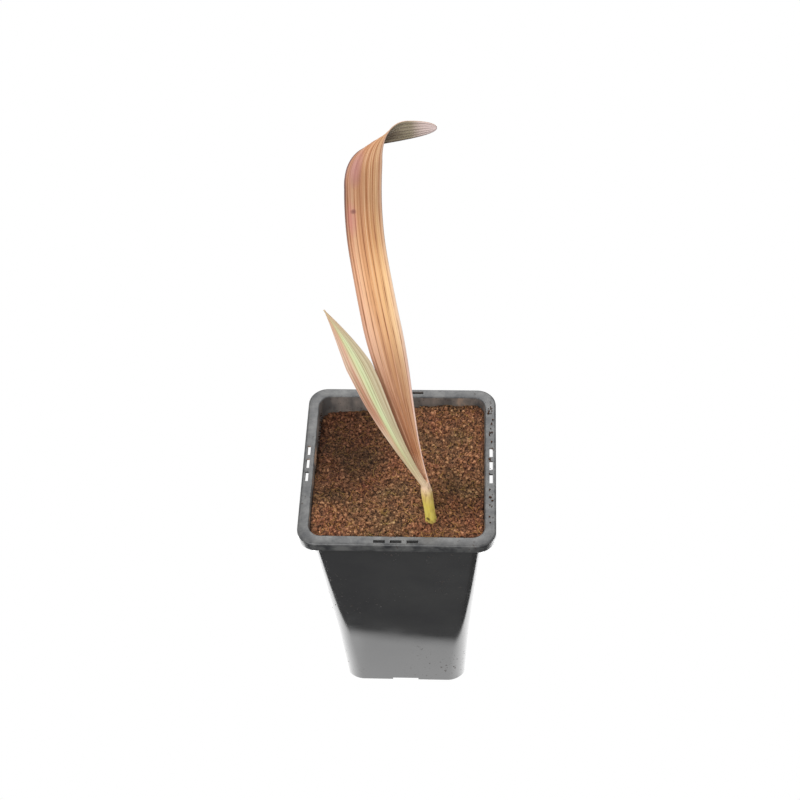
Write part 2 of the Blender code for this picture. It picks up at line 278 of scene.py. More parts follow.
class Look:
    """A material, with short calls that add the nodes of its colour and relief."""

    def __init__(self, name, roughness):
        self.material = bpy.data.materials.new(name)
        self.material.use_nodes = True
        self.tree = self.material.node_tree
        self.shader = self.tree.nodes["Principled BSDF"]
        self.shader.inputs["Roughness"].default_value = roughness

    def add(self, kind, settings=None, **links):
        """A node with its properties or inputs set, and its other inputs linked by name."""
        node = self.tree.nodes.new(kind)
        for key, value in (settings or {}).items():
            if hasattr(node, key):
                setattr(node, key, value)
            else:
                node.inputs[key].default_value = value
        for key, value in links.items():
            self.tree.links.new(value, node.inputs[key.replace("_", " ")])
        return node

    def place(self, source, scale=(1, 1, 1)):
        """Object or UV coordinates, stretched by scale."""
        coordinates = self.add("ShaderNodeTexCoord").outputs[source]
        return self.add("ShaderNodeMapping", {"Scale": scale}, Vector=coordinates).outputs[0]

    def split(self, vector):
        return self.add("ShaderNodeSeparateXYZ", Vector=vector).outputs

    def noise(self, vector, scale, detail=3, roughness=0.55):
        settings = {"Scale": scale, "Detail": detail, "Roughness": roughness}
        return self.add("ShaderNodeTexNoise", settings, Vector=vector).outputs["Fac"]

    def ramp(self, value, stops):
        """Greys or colours that change with a value, from stop to stop."""
        node = self.add("ShaderNodeValToRGB", Fac=value)
        elements = node.color_ramp.elements
        while len(elements) < len(stops):
            elements.new(0.5)
        for element, (position, colour) in zip(elements, stops):
            element.position = position
            element.color = colour if isinstance(colour, tuple) else (colour, colour, colour, 1)
        return node.outputs["Color"]

    def maths(self, operation, first, second=0.0):
        node = self.add("ShaderNodeMath", {"operation": operation})
        for socket, value in zip(node.inputs, (first, second)):
            if isinstance(value, (int, float)):
                socket.default_value = value
            else:
                self.tree.links.new(value, socket)
        return node.outputs[0]

    def mix(self, share, first, second, blend="MIX"):
        node = self.add("ShaderNodeMix", {"data_type": "RGBA", "blend_type": blend})
        sockets = (node.inputs["Factor"], node.inputs[6], node.inputs[7])
        for socket, value in zip(sockets, (share, first, second)):
            if isinstance(value, (int, float, tuple)):
                socket.default_value = value
            else:
                self.tree.links.new(value, socket)
        return node.outputs[2]

    def spot(self, outputs, middle, reach, strength=1.0):
        """A soft round mask about a place on two coordinates, fading out at its reach."""
        squares = []
        for output, centre, width in zip(outputs, middle, reach):
            away = self.maths("DIVIDE", self.maths("SUBTRACT", output, centre), width)
            squares.append(self.maths("POWER", self.maths("ABSOLUTE", away), 2))
        fade = self.maths("SUBTRACT", 1, self.maths("ADD", *squares))
        return self.maths("MULTIPLY", self.maths("MAXIMUM", fade, 0), strength)

    def colour(self, value):
        self.tree.links.new(value, self.shader.inputs["Base Color"])

    def roughness(self, value):
        self.tree.links.new(value, self.shader.inputs["Roughness"])

    def relief(self, height, distance, strength=1.0):
        settings = {"Distance": distance, "Strength": strength}
        bump = self.add("ShaderNodeBump", settings, Height=height)
        self.tree.links.new(bump.outputs["Normal"], self.shader.inputs["Normal"])


def mesh_object(bm, name):
    mesh = bpy.data.meshes.new(name)
    bm.to_mesh(mesh)
    bm.free()
    obj = bpy.data.objects.new(name, mesh)
    bpy.context.scene.collection.objects.link(obj)
    return obj


def smoothed(mesh, angle):
    mesh.shade_smooth()
    mesh.set_sharp_from_angle(angle=math.radians(angle))


def finished(bm, name, nodes, looks, angle=None):
    """A piece on the part's one body, in place of the nodes that it stands for."""
    obj = mesh_object(bm, name)
    for look in looks:
        obj.data.materials.append(look.material)
    if angle:
        smoothed(obj.data, angle)
    if nodes:
        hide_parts(*nodes)
    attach(obj, "root")
    return obj


def smooth_step(value):
    value = np.clip(value, 0, 1)
    return value * value * (3 - 2 * value)


# Pot


def rounded_square(half, corner, z):
    """The points round a square with rounded corners, level at z."""
    points = []
    reach = half - corner
    for quarter in range(4):
        turn = Matrix.Rotation(quarter * math.pi / 2, 3, "Z")
        for step in range(CORNER_STEPS + 1):
            angle = step / CORNER_STEPS * math.pi / 2
            x = reach + corner * math.cos(angle)
            y = reach + corner * math.sin(angle)
            points.append(turn @ Vector((x, y, z)))
    return points


def wall_section(z, inset):
    """Half width and corner radius of the tapering wall at a height, an inset in from its outside."""
    share = z / (POT_HEIGHT - RIM_THICK)
    half = BASE_HALF + (BODY_TOP_HALF - BASE_HALF) * share
    corner = BASE_CORNER + (BODY_TOP_CORNER - BASE_CORNER) * share
    return half - inset, corner - inset


def wall_ring(z, inset):
    half, corner = wall_section(z, inset)
    return rounded_square(half, corner, z)


def pot_rings():
    """The shell's outline: up the outside, under and round the flange, and down the inside."""
    under_rim = POT_HEIGHT - RIM_THICK
    skirt_half = RIM_HALF - RIM_THICK
    skirt_corner = RIM_CORNER - RIM_THICK
    mouth_half = BODY_TOP_HALF - WALL
    mouth_corner = BODY_TOP_CORNER - WALL
    rings = [
        rounded_square(BASE_HALF - EDGE_ROUND, BASE_CORNER - EDGE_ROUND, 0),
        wall_ring(EDGE_ROUND, 0),
        wall_ring(under_rim, 0),
        rounded_square(skirt_half, skirt_corner, under_rim),
        rounded_square(skirt_half, skirt_corner, SKIRT_END),
        rounded_square(RIM_HALF - SKIRT_ROUND, RIM_CORNER, SKIRT_END),
        rounded_square(RIM_HALF, RIM_CORNER, SKIRT_END + SKIRT_ROUND),
    ]
    turns = [step / ROUND_STEPS * math.pi / 2 for step in range(ROUND_STEPS + 1)]
    for angle in turns:
        inset = RIM_ROUND * (1 - math.cos(angle))
        z = POT_HEIGHT - RIM_ROUND * (1 - math.sin(angle))
        rings.append(rounded_square(RIM_HALF - inset, RIM_CORNER - inset, z))
    for angle in turns:
        outset = EDGE_ROUND * (1 - math.sin(angle))
        z = POT_HEIGHT - EDGE_ROUND * (1 - math.cos(angle))
        rings.append(rounded_square(mouth_half + outset, mouth_corner + outset, z))
    rings.append(wall_ring(FLOOR + EDGE_ROUND, WALL))
    rings.append(wall_ring(FLOOR, WALL + EDGE_ROUND))
    return rings


def drawn_through(rings):
    """A closed solid drawn from ring to ring, flat at both ends."""
    bm = bmesh.new()
    row = [bm.verts.new(point) for point in rings[0]]
    edges = [bm.edges.new((row[i - 1], row[i])) for i in range(len(row))]
    bmesh.ops.edgeloop_fill(bm, edges=edges)
    for ring in rings[1:]:
        added = bmesh.ops.extrude_edge_only(bm, edges=edges)["geom"]
        fresh = {item for item in added if isinstance(item, bmesh.types.BMVert)}
        pairs = {}
        for vert in fresh:
            for edge in vert.link_edges:
                pairs[edge.other_vert(vert)] = vert
        edges = [e for e in added if isinstance(e, bmesh.types.BMEdge) and fresh.issuperset(e.verts)]
        row = [pairs[vert] for vert in row]
        for vert, point in zip(row, ring):
            vert.co = point
    bmesh.ops.edgeloop_fill(bm, edges=edges)
    bmesh.ops.recalc_face_normals(bm, faces=bm.faces)
    return bm


def add_box(bm, low, high, turn):
    size = Vector(high) - Vector(low)
    centre = (Vector(high) + Vector(low)) / 2
    matrix = turn @ Matrix.Translation(centre) @ Matrix.Diagonal((*size, 1))
    bmesh.ops.create_cube(bm, size=1, matrix=matrix)


def add_rod(bm, x, y, radius, low, high, turn):
    bmesh.ops.create_cone(
        bm,
        cap_ends=True,
        segments=ROD_SIDES,
        radius1=radius,
        radius2=radius,
        depth=high - low,
        matrix=turn @ Matrix.Translation((x, y, (low + high) / 2)),
    )


def pot_tools():
    """The solids that join or cut the shell: notch covers, notches, drain holes and rim slots."""
    covers, notches, holes, slots = (bmesh.new() for _ in range(4))
    side = NOTCH_WIDTH / 2
    inner = BASE_HALF - NOTCH_REACH
    slot_outer = RIM_HALF - SLOT_FROM_EDGE + SLOT_WIDTH / 2
    for quarter in range(4):
        turn = Matrix.Rotation(quarter * math.pi / 2, 4, "Z")
        cover_top = NOTCH_HEIGHT + FLOOR
        low = (inner - WALL, -side - WALL, FLOOR / 2)
        add_box(covers, low, (BASE_HALF - WALL / 2, side + WALL, cover_top), turn)
        add_box(notches, (inner, -side, -FLOOR), (BASE_HALF + WALL, side, NOTCH_HEIGHT), turn)
        add_rod(holes, NOTCH_HOLE_FROM_CENTRE, 0, NOTCH_HOLE_RADIUS, FLOOR, 2 * cover_top, turn)
        offset = CORNER_HOLE_OFFSET
        add_rod(holes, offset, offset, CORNER_HOLE_RADIUS, -FLOOR, 2 * FLOOR, turn)
        for slot in range(SLOT_COUNT):
            middle = (slot - (SLOT_COUNT - 1) / 2) * SLOT_PITCH
            low = (slot_outer - SLOT_WIDTH, middle - SLOT_LENGTH / 2, POT_HEIGHT - 2 * RIM_THICK)
            high = (slot_outer, middle + SLOT_LENGTH / 2, POT_HEIGHT + RIM_THICK)
            add_box(slots, low, high, turn)
    return (("UNION", covers), ("DIFFERENCE", notches), ("DIFFERENCE", holes), ("DIFFERENCE", slots))


def pot_look():
    """Glossy black plastic, duller on the flange and mottled lighter there with scuffs and a painted
    highlight, with specks of dried dirt.
    """
    look = Look("pot_black_moulding", 0.16)
    look.shader.inputs["IOR"].default_value = 1.52
    place = look.place("Object")
    height = look.split(place)[2]
    cloud = look.noise(place, 26, 4)
    plastic = look.ramp(cloud, ((0.35, tone(66, 66, 67)), (0.7, tone(73, 73, 73))))
    near_rim = look.ramp(height, ((SKIRT_END - EDGE_ROUND, 0.0), (SKIRT_END, 1.0)))
    # The flange's lighter grey mottle is partly scuffs and partly a painted highlight, standing in
    # for its reflection of the light.
    scuffs_and_painted_highlight = look.noise(place, 120, 5, 0.65)
    rim = look.ramp(scuffs_and_painted_highlight, ((0.36, tone(54, 55, 57)), (0.64, tone(98, 98, 97))))
    plastic = look.mix(near_rim, plastic, rim)
    specks = look.ramp(look.noise(place, 420, 2), ((0.665, 0.0), (0.70, 1.0)))
    dusty = look.ramp(look.noise(place, 17, 2), ((0.46, 0.0), (0.60, 1.0)))
    dirt = look.maths("MULTIPLY", specks, dusty)
    look.colour(look.mix(dirt, plastic, tone(58, 46, 40)))
    gloss = look.ramp(look.noise(place, 60, 5), ((0.3, 0.07), (0.75, 0.15)))
    rough = look.mix(near_rim, gloss, (0.34, 0.34, 0.34, 1))
    look.roughness(look.mix(dirt, rough, (0.8, 0.8, 0.8, 1)))
    look.relief(look.noise(place, 9, 2), 0.0012, 0.35)
    return look


def pot_inside_look():
    """The inner wall, with dried soil smeared on it; its greys are lighter than the black outside, as
    painted light in the pot's shade.
    """
    look = Look("pot_inner_wall", 0.5)
    place = look.place("Object")
    # Painted light: the wall's greys are lighter than the plastic outside to fill its shade; the tan
    # streaks are dried soil.
    smears_and_painted_light = look.ramp(
        look.noise(look.place("Object", (1, 1, 0.5)), 70, 4),
        ((0.38, tone(82, 80, 79)), (0.52, tone(128, 120, 114)), (0.68, tone(206, 170, 142))),
    )
    grit = look.ramp(look.noise(place, 700, 2), ((0.62, 0.0), (0.7, 0.8)))
    look.colour(look.mix(grit, smears_and_painted_light, tone(70, 48, 36)))
    look.relief(look.noise(place, 500, 3), 0.0002, 0.6)
    return look


def make_pot():
    looks = (pot_look(), pot_inside_look())
    obj = finished(drawn_through(pot_rings()), "pot_shell", ("pot",), looks)
    tools = []
    for operation, bm in pot_tools():
        tool = mesh_object(bm, "tool")
        tools.append(tool)
        modifier = obj.modifiers.new(operation, "BOOLEAN")
        modifier.operation = operation
        modifier.object = tool
    bpy.context.view_layer.update()
    cut = bpy.data.meshes.new_from_object(obj.evaluated_get(bpy.context.evaluated_depsgraph_get()))
    obj.modifiers.clear()
    obj.data = cut
    for face in cut.polygons:
        faces_inward = face.center.x * face.normal.x + face.center.y * face.normal.y < 0
        upright = abs(face.normal.z) < 0.5
        if faces_inward and upright:
            face.material_index = 1
    smoothed(cut, SHARP_ANGLE)
    for tool in tools:
        bpy.data.objects.remove(tool, do_unlink=True)


# Soil


def mouth_reach(angle, z):
    """Distance from the middle to the soil's edge in a direction, at a height."""
    half, corner = wall_section(z, WALL + GAP)
    wide, narrow = sorted((abs(math.cos(angle)), abs(math.sin(angle))), reverse=True)
    straight = half / wide
    if straight * narrow <= half - corner:
        return straight
    inner = half - corner
    along = inner * (wide + narrow)
    return along + math.sqrt(max(along * along - 2 * inner * inner + corner * corner, 0))


def soil_level(x, y):
    """Height of the soil, which is lower at the back and lowest at the back left."""
    half = BODY_TOP_HALF - WALL
    right = x / half
    back = y / half
    drop = SOIL_DROP + SOIL_BACK_DROP * smooth_step((back + 0.2) / 1.2)
    drop += SOIL_CORNER_DROP * smooth_step((back - 0.8 * right - 0.3) / 1.5)
    swell = SWELL_HEIGHT * noise.noise(Vector((x * SWELL_SCALE, y * SWELL_SCALE, 2.0)))
    return POT_HEIGHT - drop + swell


def rough_level(x, y):
    """The soil's height with its lumps and grains."""
    lumps = LUMP_HEIGHT * noise.noise(Vector((x * LUMP_SCALE, y * LUMP_SCALE, 0.0)))
    grains = GRAIN_HEIGHT * noise.noise(Vector((x * GRAIN_SCALE, y * GRAIN_SCALE, 7.0)))
    return soil_level(x, y) + lumps + grains


def soil_look(name, stops, scale):
    """Moist peat and coir, with painted shade at the left and back left and a darker place at the
    front right.
    """
    look = Look(name, 0.95)
    look.shader.inputs["Specular IOR Level"].default_value = 0.15
    place = look.place("Object")
    grain = look.noise(place, scale, 3, 0.7)
    base = look.ramp(grain, stops)
    patches = look.ramp(
        look.noise(place, 42, 3),
        ((0.36, tone(206, 214, 190)), (0.5, tone(250, 236, 214)), (0.64, tone(255, 220, 204))),
    )
    base = look.mix(0.7, base, patches, "MULTIPLY")
    places = look.split(place)
    # Painted shade: the soil is darkened at the left and back left, where the wall shades it.
    painted_wall_shade_left = look.spot(places, (-0.038, 0.022), (0.046, 0.06), 0.9)
    base = look.mix(painted_wall_shade_left, base, tone(150, 138, 142), "MULTIPLY")
    darker_right = look.spot(places, (0.036, -0.026), (0.03, 0.024), 0.6)
    look.colour(look.mix(darker_right, base, tone(176, 166, 156), "MULTIPLY"))
    look.relief(look.noise(place, 1500, 4, 0.7), 0.0004, 0.9)
    return look


def make_soil_bed():
    """A rough top drawn out to the wall's outline, with straight sides down to the covers."""
    bm = bmesh.new()
    bmesh.ops.create_grid(bm, x_segments=SOIL_GRID, y_segments=SOIL_GRID, size=1)
    for vert in bm.verts:
        u, v = vert.co.x, vert.co.y
        ring = max(abs(u), abs(v))
        angle = math.atan2(v, u)
        reach = mouth_reach(angle, SOIL_BRIM) * ring
        x, y = reach * math.cos(angle), reach * math.sin(angle)
        vert.co = (x, y, rough_level(x, y))
    border = [edge for edge in bm.edges if edge.is_boundary]
    sides = bmesh.ops.extrude_edge_only(bm, edges=border)["geom"]
    for vert in (item for item in sides if isinstance(item, bmesh.types.BMVert)):
        angle = math.atan2(vert.co.y, vert.co.x)
        reach = mouth_reach(angle, SOIL_LOW)
        vert.co = (reach * math.cos(angle), reach * math.sin(angle), SOIL_LOW)
    bmesh.ops.holes_fill(bm, edges=[edge for edge in bm.edges if edge.is_boundary], sides=0)
    bmesh.ops.recalc_face_normals(bm, faces=bm.faces)
    brown = (
        (0.34, tone(30, 22, 18)),
        (0.48, tone(90, 66, 52)),
        (0.60, tone(140, 104, 82)),
        (0.74, tone(182, 146, 114)),
    )
    finished(bm, "soil_bed", ("soil",), (soil_look("soil_bed", brown, 620),), SOIL_SHARP_ANGLE)


def gathered(count, add_one):
    """Many small shapes in one bmesh, made in batches."""
    whole = bmesh.new()
    made = 0
    while made < count:
        batch = bmesh.new()
        for _ in range(min(BATCH, count - made)):
            add_one(batch)
        made += BATCH
        mesh = bpy.data.meshes.new("batch")
        batch.to_mesh(mesh)
        batch.free()
        whole.from_mesh(mesh)
        bpy.data.meshes.remove(mesh)
    return whole


def crumb_maker(draws, place):
    """Adds dented crumbs, each where place says."""

    def add_crumb(bm):
        x, y, z, size = place(draws)
        shape = Vector((draws.uniform(0.6, 1.3), draws.uniform(0.6, 1.2), draws.uniform(0.45, 0.9)))
        turn = Euler([draws.uniform(0, math.tau) for _ in range(3)]).to_matrix().to_4x4()
        matrix = Matrix.Translation((x, y, z)) @ turn @ Matrix.Diagonal((*(shape * size), 1))
        added = bmesh.ops.create_icosphere(bm, subdivisions=1, radius=1, matrix=matrix)
        for vert in added["verts"]:
            vert.co += Vector([draws.uniform(-1, 1) for _ in range(3)]) * size * CRUMB_DENTS

    return add_crumb


def on_soil(draws):
    """A place on the soil and a crumb's radius there. Few crumbs are large."""
    draws.random()  # a draw that is passed over, on which the places of all the crumbs depend
    size = CRUMB_RADIUS + CRUMB_GROWTH * draws.random() ** CRUMB_RARITY
    room = 1.6 * size
    while True:
        x = draws.uniform(-BODY_TOP_HALF, BODY_TOP_HALF)
        y = draws.uniform(-BODY_TOP_HALF, BODY_TOP_HALF)
        if math.hypot(x, y) < mouth_reach(math.atan2(y, x), SOIL_BRIM) - room:
            return x, y, rough_level(x, y) + size * draws.uniform(0.0, 0.5), size


def clod_on_soil(draws):
    """A larger lump, sunk a little into the bed."""
    x, y, z, _ = on_soil(draws)
    size = draws.uniform(*CLOD_RADIUS)
    return x, y, z - size * CLOD_SINK, size


def on_rim(draws):
    """Loose crumbs on the right of the flange, many of them at its back corner."""
    size = draws.uniform(*RIM_CRUMB_RADIUS)
    patch = RIM_CORNER_PATCH if draws.random() < RIM_CORNER_SHARE else RIM_SIDE_PATCH
    x, y = (draws.uniform(*span) for span in patch)
    return x, y, POT_HEIGHT + size * 0.4, size


def on_wall(draws):
    """Crumbs that cling to the inner wall above the soil, at the left and back left."""
    size = draws.uniform(*WALL_CRUMB_RADIUS)
    y = draws.uniform(*WALL_CRUMB_SPAN)
    z = draws.uniform(soil_level(-0.05, y), WALL_CRUMB_TOP)
    return -BODY_TOP_HALF + WALL + size + WALL_TAPER_ROOM, y, z, size


def fibre_maker(draws):
    """Adds bent fibres, each a strip of faces wrapped into a thin tube that arches off the bed."""

    def add_fibre(bm):
        x, y, z, _ = on_soil(draws)
        length = draws.uniform(*FIBRE_LENGTH)
        heading = draws.uniform(0, math.tau)
        bend = draws.uniform(-FIBRE_BEND, FIBRE_BEND)
        lift = draws.uniform(0.0, 0.6)
        thick = draws.uniform(*FIBRE_RADIUS)
        matrix = Matrix.Translation((x, y, z)) @ Matrix.Rotation(heading, 4, "Z")
        added = bmesh.ops.create_grid(bm, x_segments=FIBRE_STEPS, y_segments=FIBRE_SIDES, size=1)
        for vert in added["verts"]:
            share = (vert.co.x + 1) / 2
            around = (vert.co.y + 1) / 2 * math.tau
            sweep = bend * (share - 0.5)
            along = Vector((math.cos(sweep), math.sin(sweep), 0))
            middle = along * (share - 0.5) * length
            middle.z = lift * length * 0.25 * (1 - (2 * share - 1) ** 2) + 0.0002
            across = Vector((-along.y, along.x, 0))
            upward = Vector((0, 0, math.sin(around) * thick))
            vert.co = matrix @ (middle + across * math.cos(around) * thick + upward)

    return add_fibre


def close_fibres(bm):
    """Joins each tube's seam and caps its ends."""
    bmesh.ops.remove_doubles(bm, verts=bm.verts, dist=WELD)
    open_edges = [edge for edge in bm.edges if edge.is_boundary]
    bmesh.ops.holes_fill(bm, edges=open_edges, sides=FIBRE_SIDES)
    bmesh.ops.recalc_face_normals(bm, faces=bm.faces)


def in_the_mouth(verts):
    """Keeps loose pieces inside the wall."""
    for vert in verts:
        reach = mouth_reach(math.atan2(vert.co.y, vert.co.x), SOIL_BRIM)
        away = math.hypot(vert.co.x, vert.co.y)
        if away > reach:
            vert.co.x *= reach / away
            vert.co.y *= reach / away


def finished_on_bed(bm, name, stops, scale, angle=None):
    """Loose pieces that stand for the soil, kept inside the wall."""
    in_the_mouth(bm.verts)
    finished(bm, name, ("soil",), (soil_look(name, stops, scale),), angle)


def make_loose_soil():
    draws = random.Random(SEED)
    brown = (
        (0.28, tone(38, 28, 22)),
        (0.42, tone(112, 80, 62)),
        (0.56, tone(168, 124, 96)),
        (0.72, tone(226, 188, 148)),
    )
    golden = ((0.3, tone(120, 84, 48)), (0.5, tone(176, 136, 84)), (0.7, tone(214, 182, 124)))
    reddish = ((0.32, tone(58, 38, 30)), (0.5, tone(126, 86, 68)), (0.66, tone(186, 146, 118)))
    dark = ((0.3, tone(38, 30, 26)), (0.7, tone(96, 70, 52)))
    crumbs = gathered(CRUMBS, crumb_maker(draws, on_soil))
    finished_on_bed(crumbs, "soil_crumbs", brown, 520)
    fibres = gathered(FIBRES, fibre_maker(draws))
    close_fibres(fibres)
    finished_on_bed(fibres, "coir_fibres", golden, 300, SOIL_SHARP_ANGLE)
    clods = gathered(CLODS, crumb_maker(draws, clod_on_soil))
    finished_on_bed(clods, "soil_clods", reddish, 760)
    for name, count, place in (
        ("rim_crumbs", RIM_CRUMBS, on_rim),
        ("wall_crumbs", WALL_CRUMBS, on_wall),
    ):
        bm = gathered(count, crumb_maker(draws, place))
        finished(bm, name, (), (soil_look(name, dark, 500),))


# Leaves


def leaf_half_width(leaf, along):
    width = leaf.root_width + (leaf.width - leaf.root_width) * smooth_step(along / leaf.rise)
    width *= 1 - leaf.slimming * np.clip((along - leaf.rise) / (leaf.length - leaf.rise), 0, 1)
    into_tip = np.clip(1 - (leaf.length - along) / leaf.tip_length, 0, 1)
    width *= (1 - into_tip**leaf.tip_power) ** leaf.tip_roundness
    return np.maximum(width, leaf.tip_width) / 2


def leaf_curl(along):
    """Radians that half the blade curls through: a gutter at the foot, nearly flat above."""
    share = np.clip(along / CURL_LENGTH, 0, 1)
    return FOOT_CURL + (BLADE_CURL - FOOT_CURL) * (1 - (1 - share) ** CURL_EASE)


def leaf_plane(leaf, offset, along):
    """Distance right and up from the leaf's foot, in its own plane, before it rolls or arches."""
    steps = np.linspace(0, leaf.length, COURSE_STEPS + 1)
    distances, degrees = zip(*leaf.course)
    heading = np.radians(np.interp(steps, distances, degrees))
    stride = steps[1]
    right = np.append(0, np.cumsum(-(np.sin(heading[1:]) + np.sin(heading[:-1])) / 2 * stride))
    up = np.append(0, np.cumsum((np.cos(heading[1:]) + np.cos(heading[:-1])) / 2 * stride))
    below = np.minimum(along, 0)
    here = np.interp(along, steps, heading)
    right = np.interp(along, steps, right) - below * np.sin(here) + offset * np.cos(here)
    up = np.interp(along, steps, up) + below * np.cos(here) + offset * np.sin(here)
    return right, up


def rolled(roll, right, up):
    """The same point after the roll: right, up and back."""
    slope = math.radians(roll.slope)
    along_crease = np.array((math.cos(slope), math.sin(slope)))
    past_crease = np.array((-math.sin(slope), math.cos(slope)))
    from_crease = np.stack((right - roll.crease[0], up - roll.crease[1]), -1)
    kept = from_crease @ along_crease
    beyond = from_crease @ past_crease
    most = math.radians(roll.angle)
    angle = np.clip(beyond / roll.radius, 0, most)
    tail = np.maximum(beyond - roll.radius * most, 0) / roll.tail_radius
    forward = np.minimum(beyond, 0) + roll.radius * np.sin(angle)
    forward += roll.tail_radius * (np.sin(most + tail) - math.sin(most))
    back = roll.radius * (1 - np.cos(angle))
    back += roll.tail_radius * (math.cos(most) - np.cos(most + tail))
    right = roll.crease[0] + kept * along_crease[0] + forward * past_crease[0]
    up = roll.crease[1] + kept * along_crease[1] + forward * past_crease[1]
    return right, up, back


def leaf_points(leaf, across, along):
    """Points of the leaf's smooth middle surface. Across runs from -1 at its left edge to 1."""
    half = leaf_half_width(leaf, along)
    curl = leaf_curl(along)
    right, up = leaf_plane(leaf, half / np.sin(curl) * np.sin(across * curl), along)
    back = np.zeros_like(right)
    if leaf.roll:
        right, up, back = rolled(leaf.roll, right, up)
    rise = (leaf.arch_radius - back) * np.sin(up / leaf.arch_radius)
    depth = leaf.arch_radius - (leaf.arch_radius - back) * np.cos(up / leaf.arch_radius)
    turn = math.radians(leaf.turn)
    lean = math.radians(leaf.lean)
    right_axis = np.array((math.cos(turn), -math.sin(turn), 0))
    level_back = np.array((math.sin(turn), math.cos(turn), 0))
    upright = np.array((0, 0, 1))
    up_axis = level_back * math.sin(lean) + upright * math.cos(lean)
    back_axis = level_back * math.cos(lean) - upright * math.sin(lean)
    offset = np.outer(right, right_axis) + np.outer(rise, up_axis) + np.outer(depth, back_axis)
    return np.array(leaf.root) + offset


def leaf_relief(leaf, across, along):
    """How far the blade stands in front of its middle surface: its curl and its pleats."""
    half = leaf_half_width(leaf, along)
    curl = leaf_curl(along)
    gutter = leaf.curl_side * half / np.sin(curl) * (1 - np.cos(across * curl))
    fade = np.clip((leaf.length - along) / leaf.tip_length, 0, 1)
    fade *= PLEATS_AT_FOOT + (1 - PLEATS_AT_FOOT) * np.clip(along / leaf.rise, 0, 1)
    pleats = np.abs((across + 1) / 2 * leaf.pleats % 1 - 0.5) * 4 - 1
    wander = 1 + PLEAT_WANDER * np.sin(along * 61 + across * 4)
    waves = WAVE_HEIGHT * np.sin(along * 90 + 2 * across) * (1 - across**2)
    return gutter + leaf.pleat_depth * pleats * fade * wander + waves


def surface_normals(leaf, across, along):
    """The way that the blade's front faces, from close neighbours on its middle surface."""
    step = 0.0004
    width = 0.02
    up = leaf_points(leaf, across, along + step) - leaf_points(leaf, across, along - step)
    right = leaf_points(leaf, across + width, along) - leaf_points(leaf, across - width, along)
    normals = np.cross(right, up)
    return normals / np.linalg.norm(normals, axis=1, keepdims=True)


def make_blade(name, leaf, nodes, looks):
    """A pleated blade. Its UV map runs across the leaf and along it."""
    bm = bmesh.new()
    bmesh.ops.create_grid(bm, x_segments=BLADE_ACROSS, y_segments=BLADE_ALONG, size=1)
    across, share = np.array([(vert.co.x, vert.co.y) for vert in bm.verts]).T
    along = (leaf.length + FOOT_OVERLAP) * (1 + share) / 2 - FOOT_OVERLAP
    layer = bm.loops.layers.uv.new("blade")
    for face in bm.faces:
        for loop in face.loops:
            point = loop.vert.co
            loop[layer].uv = ((point.x + 1) / 2, (point.y + 1) / 2)
    points = leaf_points(leaf, across, along)
    points += surface_normals(leaf, across, along) * leaf_relief(leaf, across, along)[:, None]
    for vert, point in zip(bm.verts, points):
        vert.co = point
    blade = finished(bm, name, nodes, looks)
    blade.data.shade_smooth()
    solidify = blade.modifiers.new("Thickness", "SOLIDIFY")
    solidify.thickness = LEAF_THICKNESS
    solidify.offset = 0
    solidify.material_offset = 1
    return blade


def streaked(look, base, dark, light, scale=46):
    """Fine veins along the leaf over its base colour."""
    veins = look.noise(look.place("UV", (scale, 2.2, 1)), 1, 4, 0.65)
    base = look.mix(look.ramp(veins, ((0.50, 0.0), (0.70, 0.75))), base, light)
    return look.mix(look.ramp(veins, ((0.32, 0.85), (0.47, 0.0))), base, dark)


def grooves(look, across, pleats, start, end):
    """A mask of the lines at the bottom of the pleats."""
    phase = look.maths("FRACT", look.maths("MULTIPLY", across, pleats))
    away = look.maths("ABSOLUTE", look.maths("SUBTRACT", phase, 0.5))
    return look.ramp(away, ((start, 1.0), (end, 0.0)))


def leaf_surface(look):
    """A soft shine over fine raised veins."""
    look.shader.inputs["Specular IOR Level"].default_value = 0.35
    look.relief(look.noise(look.place("UV", (90, 5, 1)), 1, 3, 0.6), 0.00025, 0.5)


